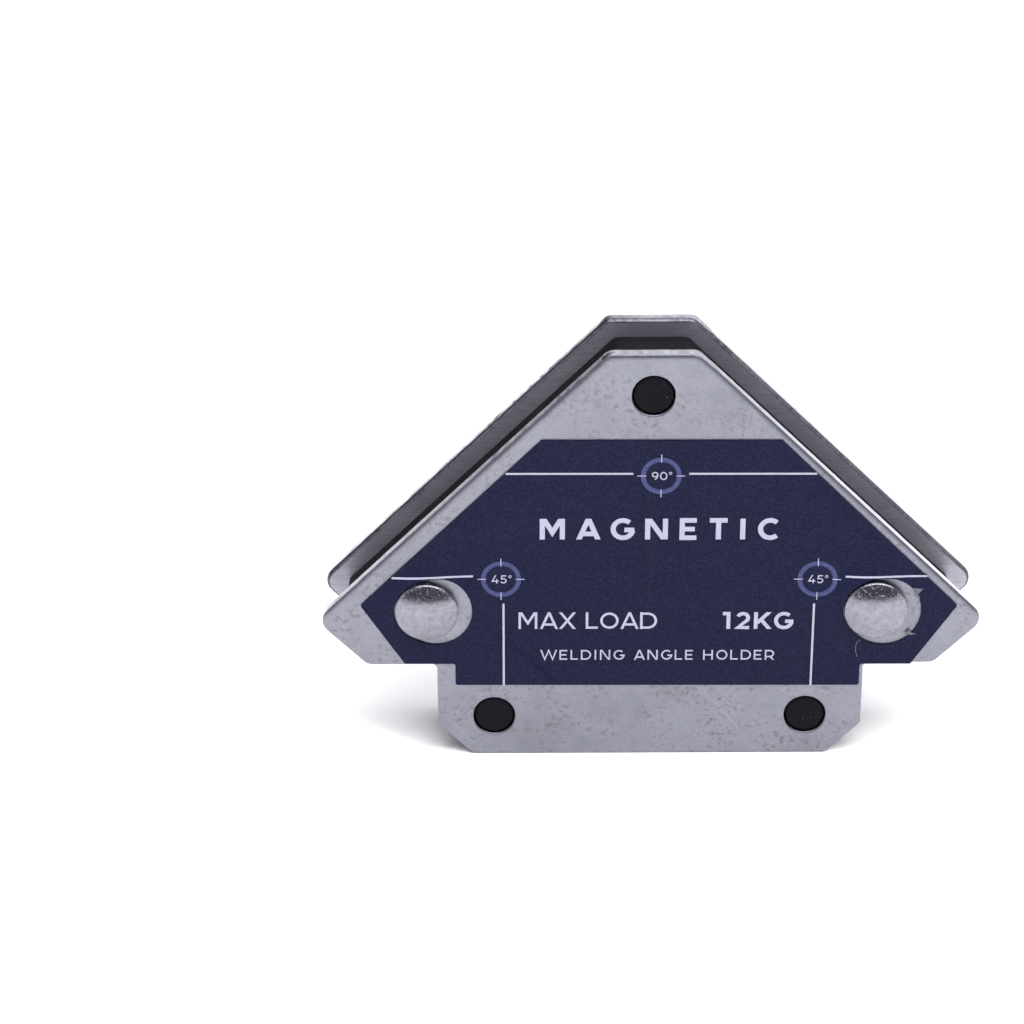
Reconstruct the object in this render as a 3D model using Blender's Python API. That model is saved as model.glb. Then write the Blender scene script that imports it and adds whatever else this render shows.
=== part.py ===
"""Magnetic welding holder: two punched steel plates riveted over a magnet core.

Metres, +Z up. The holder stands on the bottom edges of its two plates, centred on the
origin, and the labelled plate faces -Y. Outlines are drawn in the XZ plane as corner
points with radii, and every flat piece is an outline with holes, given thickness along Y.
"""
import math

import bmesh
import bpy
from mathutils import Vector

MM = 0.001

# Plates
TOP_FLAT_HALF = 5.5 * MM
TOP_Z = 56.5 * MM
TIP_X = 42.33 * MM
TIP_Z = TOP_Z - (TIP_X - TOP_FLAT_HALF)
STEP_Z = 13.3 * MM
WING_FOOT_X = TIP_X - (TIP_Z - STEP_Z)
TAB_HALF = 27.1 * MM
CHAMFER = 4.4 * MM
PLATE_THICK = 1.7 * MM
CORE_GAP = 8.8 * MM
TIP_RADIUS = 2.0 * MM
CORNER_RADIUS = 1.6 * MM
TAB_RADIUS = 1.0 * MM
NOTCH_RADIUS = 0.7 * MM
EDGE_ROLL = 0.25 * MM
EDGE_BREAK = 0.06 * MM

# Core
CORE_INSET = 2.1 * MM
CORE_RADIUS = 1.6 * MM
CORE_EDGE = 0.2 * MM

# Clearances
FACE_GAP = 0.1 * MM
FIT_GAP = 0.15 * MM

# Rivets and the tubes round their shanks
RIVET_X = 28.3 * MM
RIVET_Z = 21.4 * MM
HEAD_RADIUS = 3.95 * MM
HEAD_HEIGHT = 1.9 * MM
HEAD_RIM = 0.8 * MM
SHANK_RADIUS = 2.0 * MM
SLEEVE_RADIUS = 3.0 * MM

# Locating pins
PIN_PLACES = {"pin_top": (0.0, 51.0 * MM), "pin_left": (-19.9 * MM, 5.75 * MM),
              "pin_right": (19.9 * MM, 5.75 * MM)}
PIN_RADIUS = 2.5 * MM
PIN_HOLE_RADIUS = 2.65 * MM
PIN_RECESS = 0.15 * MM
PIN_EDGE = 0.2 * MM

# Magnets: name, centre x, centre z, width, height
MAGNETS = (("magnet_upper", 0.0, 37.25 * MM, 24.0 * MM, 13.5 * MM),
           ("magnet_left", -12.25 * MM, 20.75 * MM, 21.5 * MM, 15.5 * MM),
           ("magnet_right", 12.25 * MM, 20.75 * MM, 21.5 * MM, 15.5 * MM),
           ("magnet_lower", 0.0, 7.5 * MM, 29.0 * MM, 7.0 * MM))
MAGNET_RADIUS = 0.6 * MM
MAGNET_EDGE = 0.3 * MM

# Label film, stuck on slightly off centre and slightly turned
LABEL_THICK = 0.12 * MM
LABEL_SHIFT = 1.0 * MM
LABEL_TURN = math.radians(-0.25)
LABEL_CENTRE_Z = 27.7 * MM
LABEL_TOP_HALF = 14.8 * MM
LABEL_TOP_Z = 45.05 * MM
LABEL_TIP_HALF = 37.6 * MM
LABEL_TIP_Z = 21.9 * MM
LABEL_FOOT_HALF = 32.1 * MM
LABEL_STEP_Z = 13.45 * MM
LABEL_TAB_HALF = 25.7 * MM
LABEL_BOTTOM_Z = 10.35 * MM
LABEL_HOLE_Z = 20.86 * MM
LABEL_HOLE_SHIFT = 0.15 * MM
LABEL_HOLE_RADIUS = 4.6 * MM
LABEL_RADIUS = 0.3 * MM

# Mesh fineness
ARC_STEPS = 8
CIRCLE_STEPS = 48
DOME_STEPS = 9

# Places along Y that follow from the sizes above
INNER_Y = CORE_GAP / 2
OUTER_Y = INNER_Y + PLATE_THICK
CORE_HALF = INNER_Y - FACE_GAP


def clear_scene():
    for old in list(bpy.data.objects):
        bpy.data.objects.remove(old, do_unlink=True)


def material(name, colour, roughness, metallic):
    made = bpy.data.materials.new(name)
    made.use_nodes = True
    shader = made.node_tree.nodes["Principled BSDF"]
    shader.inputs["Base Color"].default_value = (*colour, 1.0)
    shader.inputs["Roughness"].default_value = roughness
    shader.inputs["Metallic"].default_value = metallic
    return made


def add_object(name, bm, finish, sharp_degrees=35):
    bmesh.ops.recalc_face_normals(bm, faces=bm.faces)
    mesh = bpy.data.meshes.new(name)
    bm.to_mesh(mesh)
    bm.free()
    mesh.shade_smooth()
    mesh.set_sharp_from_angle(angle=math.radians(sharp_degrees))
    mesh.materials.append(finish)
    made = bpy.data.objects.new(name, mesh)
    bpy.context.scene.collection.objects.link(made)
    return made


# ---------------------------------------------------------------- outlines

def mirrored(right_side):
    """Close an outline given from the top down its +X side with its mirror image."""
    left_side = [(-x, z, r) for x, z, r in right_side]
    return left_side + right_side[::-1]


def rounded(corners):
    """Anticlockwise loop of points from (x, z, radius) corners."""
    loop = []
    for index, (x, z, radius) in enumerate(corners):
        here = Vector((x, z))
        before = Vector(corners[index - 1][:2])
        after = Vector(corners[(index + 1) % len(corners)][:2])
        arriving = (here - before).normalized()
        leaving = (after - here).normalized()
        turn = arriving.angle_signed(leaving) * -1
        if radius == 0 or abs(turn) < 1e-6:
            loop.append(here)
            continue
        start = here - arriving * radius * math.tan(abs(turn) / 2)
        side = math.copysign(1.0, turn)
        centre = start + Vector((-arriving.y, arriving.x)) * radius * side
        spoke = start - centre
        steps = max(2, math.ceil(ARC_STEPS * abs(turn) / (math.pi / 2)))
        for step in range(steps + 1):
            angle = turn * step / steps
            loop.append(centre + rotated(spoke, angle))
    return loop


def rotated(vector, angle):
    cosine, sine = math.cos(angle), math.sin(angle)
    return Vector((vector.x * cosine - vector.y * sine, vector.x * sine + vector.y * cosine))


def inset_corners(corners, distance, radius):
    """Move every side of a corner list into the shape by the same distance."""
    moved = []
    for index, (x, z, _) in enumerate(corners):
        here = Vector((x, z))
        before = Vector(corners[index - 1][:2])
        after = Vector(corners[(index + 1) % len(corners)][:2])
        shift = mitre(before, here, after) * distance
        moved.append((here.x + shift.x, here.y + shift.y, radius))
    return moved


def mitre(before, here, after):
    """Step from a corner that moves both its sides one unit to the left of travel."""
    arriving = (here - before).normalized()
    leaving = (after - here).normalized()
    left_in = Vector((-arriving.y, arriving.x))
    left_out = Vector((-leaving.y, leaving.x))
    return (left_in + left_out) / (1.0 + left_in.dot(left_out))


def circle(x, z, radius, steps=CIRCLE_STEPS):
    """Anticlockwise circle."""
    return [Vector((x + radius * math.cos(math.tau * k / steps),
                    z + radius * math.sin(math.tau * k / steps))) for k in range(steps)]


def block(x, z, width, height, radius):
    """Anticlockwise rectangle with rounded corners."""
    half_w, half_h = width / 2, height / 2
    return rounded([(x - half_w, z - half_h, radius), (x + half_w, z - half_h, radius),
                    (x + half_w, z + half_h, radius), (x - half_w, z + half_h, radius)])


def hole(loop):
    """A loop turned round, so that the material is still on its left."""
    return loop[::-1]


def two_circles(first, first_radius, second, second_radius):
    """Outline of two overlapping circles together, anticlockwise."""
    apart = second - first
    distance = apart.length
    heading = math.atan2(apart.y, apart.x)
    open_first = math.acos((distance ** 2 + first_radius ** 2 - second_radius ** 2)
                           / (2 * distance * first_radius))
    open_second = math.acos((distance ** 2 + second_radius ** 2 - first_radius ** 2)
                            / (2 * distance * second_radius))
    loop = arc(first, first_radius, heading + open_first, heading + math.tau - open_first)
    loop += arc(second, second_radius, heading - math.pi + open_second,
                heading + math.pi - open_second)
    return loop


def arc(centre, radius, start, end):
    """Points along an arc, without the last one."""
    steps = math.ceil(CIRCLE_STEPS * (end - start) / math.tau)
    return [centre + rotated(Vector((radius, 0.0)), start + (end - start) * k / steps)
            for k in range(steps)]


# ---------------------------------------------------------------- solids

def slab(loops, layers):
    """Solid with the loops as its walls. Layers are (y, step into the material)."""
    bm = bmesh.new()
    first_ring = []
    last_ring = []
    for loop in loops:
        steps_in = [mitre(loop[k - 1], loop[k], loop[(k + 1) % len(loop)])
                    for k in range(len(loop))]
        rings = []
        for y, inwards in layers:
            points = [point + step * inwards for point, step in zip(loop, steps_in)]
            rings.append([bm.verts.new((point.x, y, point.y)) for point in points])
        for upper, lower in zip(rings, rings[1:]):
            join_rings(bm, upper, lower)
        first_ring += ring_edges(bm, rings[0])
        last_ring += ring_edges(bm, rings[-1])
    for edges in (first_ring, last_ring):
        bmesh.ops.triangle_fill(bm, use_beauty=True, use_dissolve=False, edges=edges)
    return bm


def join_rings(bm, upper, lower):
    for k, vert in enumerate(upper):
        after = (k + 1) % len(upper)
        bm.faces.new((vert, upper[after], lower[after], lower[k]))


def ring_edges(bm, ring):
    return [bm.edges.get((ring[k - 1], ring[k])) for k in range(len(ring))]


def straight_layers(half, edge):
    """Layers of a piece centred on Y = 0 with its edges bevelled at both ends."""
    return [(-half, edge), (-half + edge, 0.0), (half - edge, 0.0), (half, edge)]


def turned(centre, profile, steps=CIRCLE_STEPS):
    """Solid of revolution along Y. The profile is (radius, y) from pole to pole."""
    bm = bmesh.new()
    rings = []
    for radius, y in profile[1:-1]:
        ring = circle(centre[0], centre[1], radius, steps)
        rings.append([bm.verts.new((point.x, y, point.y)) for point in ring])
    for upper, lower in zip(rings, rings[1:]):
        join_rings(bm, upper, lower)
    for ring, y in ((rings[0], profile[0][1]), (rings[-1], profile[-1][1])):
        pole = bm.verts.new((centre[0], y, centre[1]))
        for k, vert in enumerate(ring):
            bm.faces.new((pole, vert, ring[(k + 1) % len(ring)]))
    return bm


# ---------------------------------------------------------------- pieces

def plate_corners():
    return mirrored([(TOP_FLAT_HALF, TOP_Z, CORNER_RADIUS), (TIP_X, TIP_Z, TIP_RADIUS),
                     (WING_FOOT_X, STEP_Z, CORNER_RADIUS), (TAB_HALF, STEP_Z, NOTCH_RADIUS),
                     (TAB_HALF, CHAMFER, TAB_RADIUS), (TAB_HALF - CHAMFER, 0.0, TAB_RADIUS)])


def add_plate(name, front_y, finish):
    """One plate, punched from the front: rolled edges there, a small break at the back."""
    loops = [rounded(plate_corners())]
    loops += [hole(circle(x, z, PIN_HOLE_RADIUS)) for x, z in PIN_PLACES.values()]
    loops += [hole(circle(side * RIVET_X, RIVET_Z, SHANK_RADIUS + FIT_GAP))
              for side in (-1, 1)]
    layers = [(front_y, EDGE_ROLL),
              (front_y + 0.3 * EDGE_ROLL, 0.3 * EDGE_ROLL),
              (front_y + EDGE_ROLL, 0.0),
              (front_y + PLATE_THICK - EDGE_BREAK, 0.0),
              (front_y + PLATE_THICK, EDGE_BREAK)]
    return add_object(name, slab(loops, layers), finish)


def add_core(finish):
    """Moulded spacer with a pocket for each magnet and a hole for each sleeve and pin."""
    outline = rounded(inset_corners(plate_corners(), CORE_INSET, CORE_RADIUS))
    loops = [outline]
    for _, x, z, width, height in MAGNETS:
        loops.append(hole(block(x, z, width + 2 * FIT_GAP, height + 2 * FIT_GAP,
                                MAGNET_RADIUS + FIT_GAP)))
    loops += [hole(circle(side * RIVET_X, RIVET_Z, SLEEVE_RADIUS + FIT_GAP))
              for side in (-1, 1)]
    loops += [hole(circle(x, z, PIN_RADIUS + FIT_GAP)) for x, z in PIN_PLACES.values()]
    return add_object("core_frame", slab(loops, straight_layers(CORE_HALF, CORE_EDGE / 2)),
                      finish)


def add_magnets(finish):
    for name, x, z, width, height in MAGNETS:
        loops = [block(x, z, width, height, MAGNET_RADIUS)]
        add_object(name, slab(loops, straight_layers(CORE_HALF, MAGNET_EDGE)), finish)


def rivet_profile():
    """Half of a rivet: spherical dome, upright rim, flat underside, shank to the middle."""
    under_y = OUTER_Y + FACE_GAP
    rim_y = under_y + HEAD_RIM
    rise = HEAD_HEIGHT - HEAD_RIM
    ball = (HEAD_RADIUS ** 2 + rise ** 2) / (2 * rise)
    edge_angle = math.asin(HEAD_RADIUS / ball)
    dome = []
    for k in range(DOME_STEPS + 1):
        angle = edge_angle * k / DOME_STEPS
        dome.append((ball * math.sin(angle), rim_y + rise - ball * (1 - math.cos(angle))))
    foot = [(HEAD_RADIUS, under_y + 0.1 * HEAD_RIM), (HEAD_RADIUS - 0.1 * HEAD_RIM, under_y)]
    return dome + foot + [(SHANK_RADIUS, under_y)]


def add_rivets(finish):
    half = rivet_profile()
    profile = [(radius, -y) for radius, y in half] + half[::-1]
    for name, side in (("rivet_left", -1), ("rivet_right", 1)):
        add_object(name, turned((side * RIVET_X, RIVET_Z), profile), finish)


def add_sleeves(finish):
    for name, side in (("sleeve_left", -1), ("sleeve_right", 1)):
        loops = [circle(side * RIVET_X, RIVET_Z, SLEEVE_RADIUS),
                 hole(circle(side * RIVET_X, RIVET_Z, SHANK_RADIUS + FIT_GAP))]
        add_object(name, slab(loops, straight_layers(CORE_HALF, CORE_EDGE / 2)), finish)


def add_pins(finish):
    for name, (x, z) in PIN_PLACES.items():
        loops = [circle(x, z, PIN_RADIUS)]
        add_object(name, slab(loops, straight_layers(OUTER_Y - PIN_RECESS, PIN_EDGE)), finish)


def on_plate(x, z):
    """A place on the label as cut, moved to where the label is stuck."""
    turned_place = rotated(Vector((x, z - LABEL_CENTRE_Z)), LABEL_TURN)
    return Vector((turned_place.x + LABEL_SHIFT, turned_place.y + LABEL_CENTRE_Z))


def add_label(finish):
    """Die-cut film, open round each rivet head."""
    corners = mirrored([(LABEL_TOP_HALF, LABEL_TOP_Z, LABEL_RADIUS),
                        (LABEL_TIP_HALF, LABEL_TIP_Z, LABEL_RADIUS),
                        (LABEL_FOOT_HALF, LABEL_STEP_Z, LABEL_RADIUS),
                        (LABEL_TAB_HALF, LABEL_STEP_Z, LABEL_RADIUS),
                        (LABEL_TAB_HALF, LABEL_BOTTOM_Z, LABEL_RADIUS)])
    loops = [[on_plate(point.x, point.y) for point in rounded(corners)]]
    for side in (-1, 1):
        die_cut = on_plate(side * RIVET_X + LABEL_HOLE_SHIFT, LABEL_HOLE_Z)
        rivet = Vector((side * RIVET_X, RIVET_Z))
        loops.append(hole(two_circles(die_cut, LABEL_HOLE_RADIUS,
                                      rivet, HEAD_RADIUS + FIT_GAP)))
    back_y = -OUTER_Y - FACE_GAP
    return add_object("label", slab(loops, [(back_y - LABEL_THICK, 0.0), (back_y, 0.0)]),
                      finish)


def main():
    clear_scene()
    steel = material("zinc_steel", (0.44, 0.44, 0.49), 0.38, 1.0)
    add_plate("front_plate", -OUTER_Y, steel)
    add_plate("rear_plate", INNER_Y, steel.copy())
    add_core(material("core_plastic", (0.02, 0.02, 0.022), 0.6, 0.0))
    add_magnets(material("ferrite", (0.045, 0.043, 0.042), 0.7, 0.0))
    add_rivets(material("rivet_metal", (0.75, 0.75, 0.77), 0.15, 1.0))
    add_sleeves(material("sleeve_metal", (0.6, 0.6, 0.62), 0.35, 1.0))
    add_pins(material("pin_plastic", (0.012, 0.012, 0.015), 0.35, 0.0))
    add_label(material("label_film", (0.025, 0.027, 0.065), 0.35, 0.0))


main()
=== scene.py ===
"""Looks of the magnetic welding holder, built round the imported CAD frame.

Metres, +Z up, labelled plate facing -Y. Outlines, levels and places are read from the
CAD nodes, so a visible piece always lies where its solid is.
"""
import math

import bmesh
import bpy
from mathutils import Matrix, Vector, noise
from mathutils.geometry import delaunay_2d_cdt


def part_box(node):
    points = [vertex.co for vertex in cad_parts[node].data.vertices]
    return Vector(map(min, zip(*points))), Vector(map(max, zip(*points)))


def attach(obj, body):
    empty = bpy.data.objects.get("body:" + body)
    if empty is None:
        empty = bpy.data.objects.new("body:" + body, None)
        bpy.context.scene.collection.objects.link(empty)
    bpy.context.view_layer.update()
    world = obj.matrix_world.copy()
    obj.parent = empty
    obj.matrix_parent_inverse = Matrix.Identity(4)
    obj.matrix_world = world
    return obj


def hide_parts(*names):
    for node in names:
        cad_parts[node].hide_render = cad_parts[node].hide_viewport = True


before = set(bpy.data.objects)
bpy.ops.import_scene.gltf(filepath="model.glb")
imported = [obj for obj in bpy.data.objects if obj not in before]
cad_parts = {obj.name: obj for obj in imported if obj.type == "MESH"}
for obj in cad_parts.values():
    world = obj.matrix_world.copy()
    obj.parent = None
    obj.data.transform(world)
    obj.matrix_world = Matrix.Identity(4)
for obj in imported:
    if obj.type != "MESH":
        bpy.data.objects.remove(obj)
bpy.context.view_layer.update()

MM = 0.001
BODY = "root"

# Camera
CAMERA_PLACE = (-14.57 * MM, -364.2 * MM, 220.8 * MM)
CAMERA_TURN = (62.6, 0.42, 0.236)
CAMERA_LENS = 114.2

# Punched edges of the plates
ROLL_WIDE = 0.85 * MM
ROLL_DEEP = 0.30 * MM
REAR_ROLL_WIDE = 0.37 * MM
REAR_ROLL_DEEP = 0.65 * MM
HOLE_ROLL_WIDE = 0.26 * MM
HOLE_ROLL_DEEP = 0.2 * MM
BURNISH_SHARE = 0.88
BREAK_TAPER = 0.04 * MM
EDGE_STEP = 0.5 * MM
ROLL_TURNS = 7
FACE_FINISH, REAR_FINISH, BURNISH_FINISH, BREAK_FINISH = range(4)

# Core moulding
DRAFT = 0.12 * MM
FLASH = 0.04 * MM
HALF_FLASH = 0.08 * MM

# Rivet heads and pins
RIM_STEP = 0.1 * MM
RIM_STEP_TURN = 80
DIMPLE_DEEP = 0.035 * MM
DIMPLE_WIDE = 0.45 * MM
GROOVE_SHARE = 0.45
GROOVE_DEEP = 0.035 * MM
GROOVE_HALF = 0.07 * MM
FOOT_CORNER = 0.08 * MM
HEAD_WOBBLE = 0.02 * MM
DOME_STEPS = 18
RIM_STEPS = 5
HEAD_STEPS = 112
PIN_STEPS = 72

# Film and print
PRINT_LIFT = 0.012 * MM
PRINT_THICK = 0.012 * MM
LINE_WIDE = 0.26 * MM
DIAL_TICKS = 64
FILM_LIFT = 0.5 * MM
FILM_LIFT_REACH = 1.9 * MM
FILM_LIFT_HEADING = math.radians(140)
FILM_CREEP = 0.42 * MM
FILM_CREEP_WAY = Vector((0.5, 0.866))
FILM_MESH_STEP = 0.45 * MM
FILM_MESH_REACH = 7.0 * MM


# ================================================================ reading the frame

def levels(node):
    """The distinct Y levels of a CAD node's vertices, front to back."""
    found = sorted({round(v.co.y, 6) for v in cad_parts[node].data.vertices})
    return [y for k, y in enumerate(found) if k == 0 or y - found[k - 1] > 2e-6]


def section(node, level):
    """Closed loops of a CAD node's wall at a Y level, with the material on their left."""
    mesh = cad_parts[node].data
    flat_points = {}
    for vert in mesh.vertices:
        if abs(vert.co.y - level) < 3e-6:
            key = (round(vert.co.x * 1e6), round(vert.co.z * 1e6))
            flat_points[vert.index] = key
    uses = {}
    for polygon in mesh.polygons:
        corners = list(polygon.vertices)
        on_level = [c in flat_points for c in corners]
        for k, corner in enumerate(corners):
            after = corners[(k + 1) % len(corners)]
            if corner in flat_points and after in flat_points:
                edge = frozenset((flat_points[corner], flat_points[after]))
                cap, wall = uses.get(edge, (0, 0))
                uses[edge] = (cap + 1, wall) if all(on_level) else (cap, wall + 1)
    borders = [edge for edge, (cap, wall) in uses.items() if len(edge) == 2 and wall]
    return oriented(chained(borders))


def chained(edges):
    """Join loose edges into loops of points."""
    beside = {}
    for edge in edges:
        one, two = tuple(edge)
        beside.setdefault(one, []).append(two)
        beside.setdefault(two, []).append(one)
    loops = []
    while beside:
        start = min(beside)
        loop, here, last = [start], start, None
        while True:
            onward = [p for p in beside[here] if p != last]
            last, here = here, onward[0]
            if here == start:
                break
            loop.append(here)
        for point in loop:
            del beside[point]
        loops.append([Vector((x * 1e-6, z * 1e-6)) for x, z in loop])
    return loops


def oriented(loops):
    """Outer loop first and anticlockwise, holes clockwise."""
    loops.sort(key=lambda loop: -abs(area(loop)))
    return [loop if (area(loop) > 0) == (k == 0) else loop[::-1]
            for k, loop in enumerate(loops)]


def area(loop):
    return sum(loop[k - 1].cross(loop[k]) for k in range(len(loop))) / 2


def centre(node):
    low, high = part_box(node)
    return (low + high) / 2


# ================================================================ mesh building

def mitre(before, here, after):
    arriving = (here - before).normalized()
    leaving = (after - here).normalized()
    left_in = Vector((-arriving.y, arriving.x))
    left_out = Vector((-leaving.y, leaving.x))
    return (left_in + left_out) / (1.0 + left_in.dot(left_out))


def finely(loop, longest):
    """The same loop with its long sides cut into shorter ones."""
    fine = []
    for k, point in enumerate(loop):
        after = loop[(k + 1) % len(loop)]
        parts = max(1, round((after - point).length / longest))
        fine += [point.lerp(after, part / parts) for part in range(parts)]
    return fine


def add_piece(name, bm, finishes, replaces=(), sharp=30):
    """Make an object from a bmesh, ride it on the body and hide the CAD nodes it replaces."""
    bmesh.ops.recalc_face_normals(bm, faces=bm.faces)
    mesh = bpy.data.meshes.new(name)
    bm.to_mesh(mesh)
    bm.free()
    mesh.shade_smooth()
    mesh.set_sharp_from_angle(angle=math.radians(sharp))
    for finish in finishes:
        mesh.materials.append(finish)
    piece = bpy.data.objects.new(name, mesh)
    bpy.context.scene.collection.objects.link(piece)
    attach(piece, BODY)
    if replaces:
        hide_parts(*replaces)
    return piece


def keep_faces_flat(piece):
    """Weight normals by face area, so that flat faces stay flat up to their edges."""
    weighted = piece.modifiers.new("flat_faces", "WEIGHTED_NORMAL")
    weighted.mode = "FACE_AREA"
    weighted.weight = 100
    weighted.keep_sharp = True


def wall(bm, loop, layers, finish_of_layer):
    """Rings of quads down a wall. Layers are functions of the point's number and place."""
    steps_in = [mitre(loop[k - 1], loop[k], loop[(k + 1) % len(loop)])
                for k in range(len(loop))]
    rings = []
    for layer in layers:
        ring = []
        for k, (point, step) in enumerate(zip(loop, steps_in)):
            y, inwards = layer(k, point)
            moved = point + step * inwards
            ring.append(bm.verts.new((moved.x, y, moved.y)))
        rings.append(ring)
    for number, (upper, lower) in enumerate(zip(rings, rings[1:])):
        for k, vert in enumerate(upper):
            after = (k + 1) % len(upper)
            face = bm.faces.new((vert, upper[after], lower[after], lower[k]))
            face.material_index = finish_of_layer[number]
    return rings


def ring_edges(bm, ring):
    return [bm.edges.get((ring[k - 1], ring[k])) for k in range(len(ring))]


def fill(bm, edges, finish=0):
    made = bmesh.ops.triangle_fill(bm, use_beauty=True, use_dissolve=False, edges=edges)
    for face in (f for f in made["geom"] if isinstance(f, bmesh.types.BMFace)):
        face.material_index = finish


def turned(bm, middle, profile, steps, wobble=0.0):
    """Solid of revolution along Y from pole to pole, a little out of round if asked."""
    rings = []
    for radius, y in profile[1:-1]:
        ring = []
        for k in range(steps):
            angle = math.tau * k / steps
            out = radius + wobble * noise.noise(Vector((math.cos(angle), math.sin(angle),
                                                        middle.x * 300)))
            ring.append(bm.verts.new((middle.x + out * math.cos(angle), y,
                                      middle.z + out * math.sin(angle))))
        rings.append(ring)
    for upper, lower in zip(rings, rings[1:]):
        for k, vert in enumerate(upper):
            after = (k + 1) % steps
            bm.faces.new((vert, upper[after], lower[after], lower[k]))
    for ring, y in ((rings[0], profile[0][1]), (rings[-1], profile[-1][1])):
        pole = bm.verts.new((middle.x, y, middle.z))
        for k, vert in enumerate(ring):
            bm.faces.new((pole, vert, ring[(k + 1) % steps]))


def inside(point, loop):
    """Whether a point lies inside a closed loop."""
    hit = False
    for k, here in enumerate(loop):
        last = loop[k - 1]
        if (here.y > point.y) != (last.y > point.y):
            cross_x = last.x + (point.y - last.y) / (here.y - last.y) * (here.x - last.x)
            hit ^= point.x < cross_x
    return hit


def triangulated(loops, extra, keep):
    """Triangles over loops and extra points whose middles pass the keep test."""
    points = []
    edges = []
    for loop in loops:
        first = len(points)
        points += loop
        edges += [(first + k, first + (k + 1) % len(loop)) for k in range(len(loop))]
    found = delaunay_2d_cdt(points + extra, edges, [], 0, 1e-9, False)
    corners, triangles = found[0], found[2]
    kept = []
    for triangle in triangles:
        middle = (corners[triangle[0]] + corners[triangle[1]] + corners[triangle[2]]) / 3
        if keep(middle):
            kept.append(triangle)
    return corners, kept


def sheet(bm, corners, triangles, front, back):
    """Closed thin solid over flat triangles. Front and back give Y from a place."""
    front_verts = {}
    back_verts = {}
    for triangle in triangles:
        for k in triangle:
            if k not in front_verts:
                x, z = corners[k]
                front_verts[k] = bm.verts.new((x, front(corners[k]), z))
                back_verts[k] = bm.verts.new((x, back(corners[k]), z))
    borders = {}
    for a, b, c in triangles:
        bm.faces.new((front_verts[a], front_verts[b], front_verts[c]))
        bm.faces.new((back_verts[c], back_verts[b], back_verts[a]))
        for edge in ((a, b), (b, c), (c, a)):
            if (edge[1], edge[0]) in borders:
                del borders[(edge[1], edge[0])]
            else:
                borders[edge] = True
    for a, b in borders:
        bm.faces.new((front_verts[b], front_verts[a], back_verts[a], back_verts[b]))


# ================================================================ materials

class Shader:
    """Short calls for building a node material."""

    def __init__(self, name):
        self.material = bpy.data.materials.new(name)
        self.material.use_nodes = True
        self.tree = self.material.node_tree
        self.surface = self.tree.nodes["Principled BSDF"]
        self.place = self.node("ShaderNodeTexCoord").outputs["Object"]

    def node(self, kind, **settings):
        made = self.tree.nodes.new(kind)
        for key, value in settings.items():
            setattr(made, key, value)
        return made

    def link(self, source, target):
        self.tree.links.new(source, target)

    def give(self, socket, value):
        if isinstance(value, bpy.types.NodeSocket):
            self.link(value, socket)
        elif isinstance(value, tuple) and len(value) == 3 and socket.type == "RGBA":
            socket.default_value = (*value, 1.0)
        else:
            socket.default_value = value

    def mapped(self, scale=(1, 1, 1), turn=0, move=(0, 0, 0)):
        """Place turned in the XZ plane and moved, then stretched."""
        turner = self.node("ShaderNodeMapping")
        self.link(self.place, turner.inputs["Vector"])
        turner.inputs["Rotation"].default_value = (0, math.radians(turn), 0)
        turner.inputs["Location"].default_value = move
        stretcher = self.node("ShaderNodeMapping")
        self.link(turner.outputs["Vector"], stretcher.inputs["Vector"])
        stretcher.inputs["Scale"].default_value = scale
        return stretcher.outputs["Vector"]

    def upward(self):
        """How far the surface faces up, -1 to 1."""
        source = self.node("ShaderNodeTexCoord").outputs["Normal"]
        split = self.node("ShaderNodeSeparateXYZ")
        self.link(source, split.inputs["Vector"])
        return split.outputs["Z"]

    def noise(self, scale, detail=2.0, roughness=0.5, vector=None):
        made = self.node("ShaderNodeTexNoise")
        self.link(vector or self.place, made.inputs["Vector"])
        made.inputs["Scale"].default_value = scale
        made.inputs["Detail"].default_value = detail
        made.inputs["Roughness"].default_value = roughness
        return made.outputs["Fac"]

    def cells(self, scale):
        made = self.node("ShaderNodeTexVoronoi", feature="F1")
        self.link(self.place, made.inputs["Vector"])
        made.inputs["Scale"].default_value = scale
        return made.outputs["Distance"]

    def ramp(self, factor, low, high, from_value=0.0, to_value=1.0):
        made = self.node("ShaderNodeMapRange", clamp=True, interpolation_type="SMOOTHSTEP")
        self.link(factor, made.inputs["Value"])
        made.inputs["From Min"].default_value = low
        made.inputs["From Max"].default_value = high
        made.inputs["To Min"].default_value = from_value
        made.inputs["To Max"].default_value = to_value
        return made.outputs["Result"]

    def math(self, operation, one, two=0.0):
        made = self.node("ShaderNodeMath", operation=operation)
        self.give(made.inputs[0], one)
        self.give(made.inputs[1], two)
        return made.outputs["Value"]

    def mix(self, factor, one, two, blend="MIX"):
        made = self.node("ShaderNodeMix", data_type="RGBA", blend_type=blend)
        self.give(made.inputs["Factor"], factor)
        self.give(made.inputs[6], one)
        self.give(made.inputs[7], two)
        return made.outputs[2]

    def bump(self, height, distance, strength=1.0, under=None):
        made = self.node("ShaderNodeBump")
        made.inputs["Strength"].default_value = strength
        made.inputs["Distance"].default_value = distance
        self.link(height, made.inputs["Height"])
        if under:
            self.link(under, made.inputs["Normal"])
        return made.outputs["Normal"]

    def finish(self, **inputs):
        for key, value in inputs.items():
            self.give(self.surface.inputs[key.replace("_", " ")], value)
        return self.material


def scratches(shader, turn, scale, thin, patch_scale, seed):
    """Broken fine lines along one direction in the XZ plane, 0 to 1."""
    along = shader.mapped(scale=(1.0, 1.0, 60.0), turn=turn, move=(seed, seed, seed))
    lines = shader.noise(scale, 1.0, 0.4, along)
    narrow = shader.ramp(lines, thin, thin + 0.02)
    moved = shader.mapped(move=(seed, 0.3, seed))
    patches = shader.ramp(shader.noise(patch_scale, 2.0, 0.5, moved), 0.52, 0.6)
    return shader.math("MULTIPLY", narrow, patches)


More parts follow.
